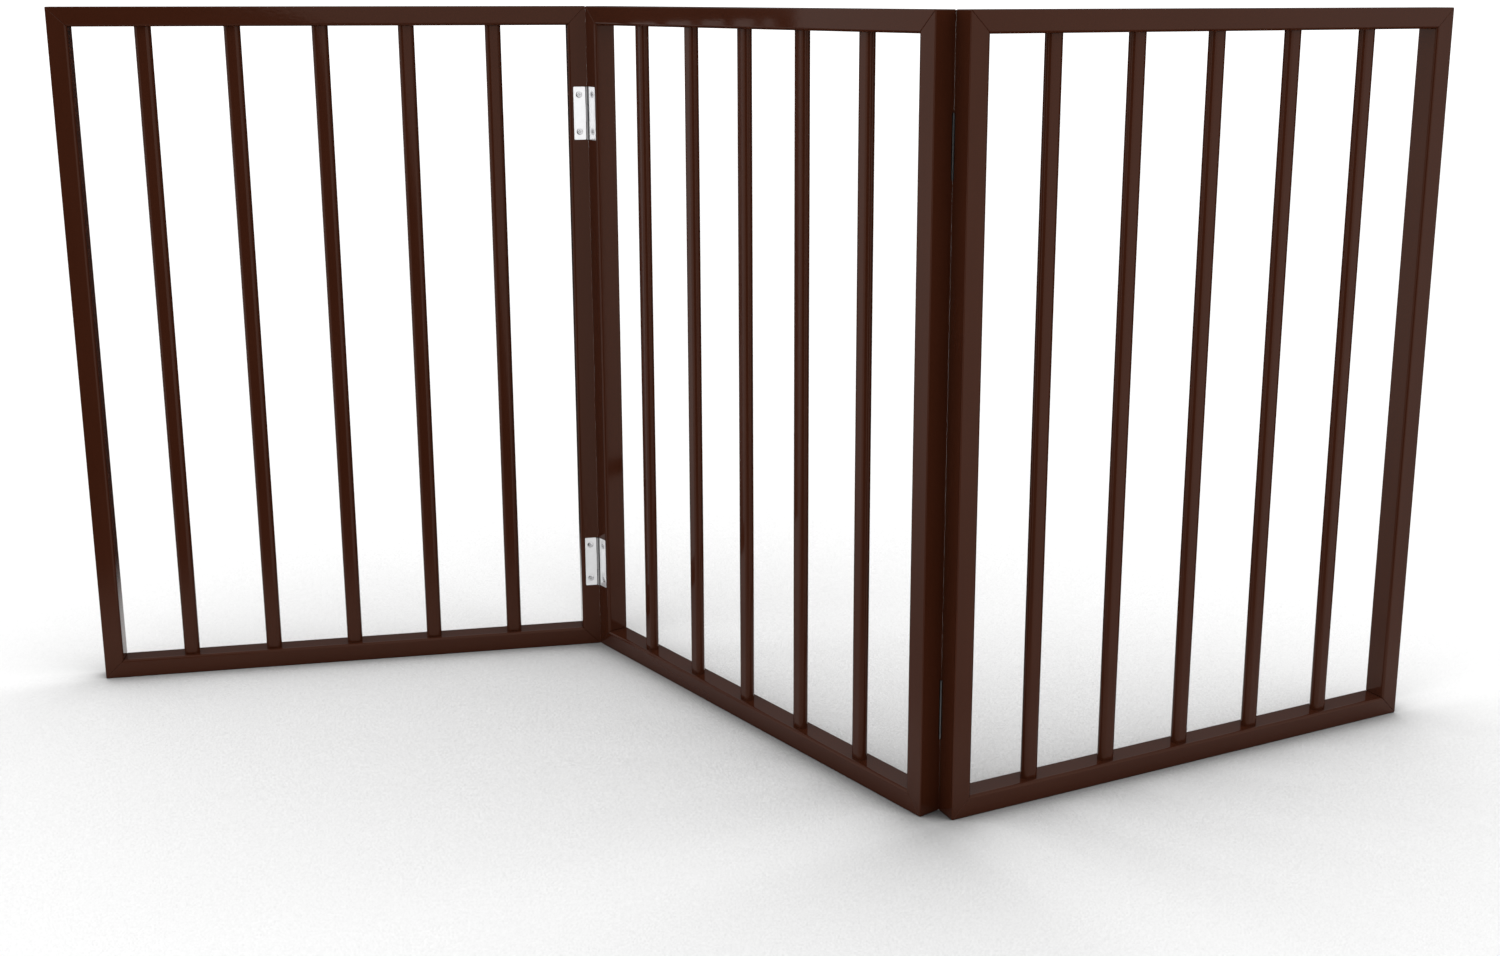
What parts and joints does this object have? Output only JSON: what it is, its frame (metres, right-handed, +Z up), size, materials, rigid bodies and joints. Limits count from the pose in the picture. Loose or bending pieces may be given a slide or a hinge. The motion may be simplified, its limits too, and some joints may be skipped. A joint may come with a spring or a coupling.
{
  "type": "folding pet gate",
  "caption": "Free-standing folding pet gate of mitred wooden frames with upright bars, joined side by side by butt hinges and stood in a zigzag.",
  "frame": {"origin": "on the floor, under the centre of the gate's bounding box as it stands in its zigzag", "axes": "+Z up, +X to the right seen from the front, along the gate's longest extent, +Y towards the back"},
  "size_m": [1.173, 0.3856, 0.6096],
  "materials": {
    "painted_wood": "glossy dark brown enamel",
    "hinge_metal": "bright nickel plate",
    "screw_metal": "bright nickel plate"
  },
  "bodies": {
    "left_panel": {"left_outer_stile": "painted_wood", "left_hinge_stile": "painted_wood", "left_top_rail": "painted_wood", "left_bottom_rail": "painted_wood", "left_bar_1": "painted_wood", "left_bar_2": "painted_wood", "left_bar_3": "painted_wood", "left_bar_4": "painted_wood", "left_bar_5": "painted_wood", "front_lower_leaf_left": "hinge_metal", "front_lower_screw_left_1": "screw_metal", "front_lower_screw_left_2": "screw_metal", "front_upper_leaf_left": "hinge_metal", "front_upper_screw_left_1": "screw_metal", "front_upper_screw_left_2": "screw_metal"},
    "middle_panel": {"middle_left_stile": "painted_wood", "middle_right_stile": "painted_wood", "middle_top_rail": "painted_wood", "middle_bottom_rail": "painted_wood", "middle_bar_1": "painted_wood", "middle_bar_2": "painted_wood", "middle_bar_3": "painted_wood", "middle_bar_4": "painted_wood", "middle_bar_5": "painted_wood", "front_lower_leaf_middle": "hinge_metal", "front_lower_screw_middle_1": "screw_metal", "front_lower_screw_middle_2": "screw_metal", "front_lower_pin": "hinge_metal", "front_upper_leaf_middle": "hinge_metal", "front_upper_screw_middle_1": "screw_metal", "front_upper_screw_middle_2": "screw_metal", "front_upper_pin": "hinge_metal", "back_lower_leaf_middle": "hinge_metal", "back_lower_screw_middle_1": "screw_metal", "back_lower_screw_middle_2": "screw_metal", "back_lower_pin": "hinge_metal", "back_upper_leaf_middle": "hinge_metal", "back_upper_screw_middle_1": "screw_metal", "back_upper_screw_middle_2": "screw_metal", "back_upper_pin": "hinge_metal"},
    "right_panel": {"right_hinge_stile": "painted_wood", "right_outer_stile": "painted_wood", "right_top_rail": "painted_wood", "right_bottom_rail": "painted_wood", "right_bar_1": "painted_wood", "right_bar_2": "painted_wood", "right_bar_3": "painted_wood", "right_bar_4": "painted_wood", "right_bar_5": "painted_wood", "back_lower_leaf_right": "hinge_metal", "back_lower_screw_right_1": "screw_metal", "back_lower_screw_right_2": "screw_metal", "back_upper_leaf_right": "hinge_metal", "back_upper_screw_right_1": "screw_metal", "back_upper_screw_right_2": "screw_metal"}
  },
  "joints": [
    {"name": "front_fold", "type": "hinge", "parent": "middle_panel", "child": "left_panel", "pos_m": [-0.13287, 0.17356, 0], "axis": [0, 0, 1], "range_deg": [-63.1, 116.9]},
    {"name": "back_fold", "type": "hinge", "parent": "middle_panel", "child": "right_panel", "pos_m": [0.16575, -0.17519, 0], "axis": [0, 0, 1], "range_deg": [-77.9, 102.1]}
  ]
}
